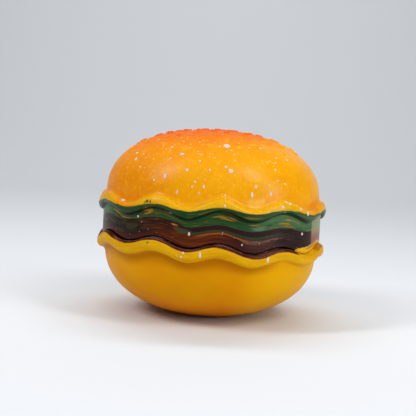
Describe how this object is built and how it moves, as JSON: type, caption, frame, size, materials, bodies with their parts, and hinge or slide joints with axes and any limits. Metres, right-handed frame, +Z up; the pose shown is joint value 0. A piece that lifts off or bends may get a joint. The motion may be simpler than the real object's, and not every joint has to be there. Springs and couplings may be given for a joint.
{
  "type": "moulded burger-shaped confection",
  "caption": "Hollow moulded confection in the shape of a burger: golden bun halves with rippled lips and low seeds, a green lettuce roll and a brown patty.",
  "frame": {"origin": "middle of the small flat spot that the burger rests on, below the centre of its outline", "axes": "+Z up through the middle of the crown; -Y is the side that faces the viewer, where the green and brown streaks are brightest; twelve ripples run round it about Z"},
  "size_m": [0.088, 0.088, 0.0714],
  "materials": {
    "bun_shell": "satin coloured cocoa butter over a moulded shell, red airbrushed on the crown, white splatter",
    "bun_base": "satin coloured cocoa butter over a moulded shell, lemon yellow on the lip",
    "green_shell": "brushed green cocoa butter with golden streaks, satin",
    "brown_shell": "brushed dark brown and rust cocoa butter, glossy in the groove at its foot"
  },
  "bodies": {
    "root": {"upper_bun": "bun_shell", "lettuce": "green_shell", "patty": "brown_shell", "lower_bun": "bun_base"}
  },
  "joints": []
}
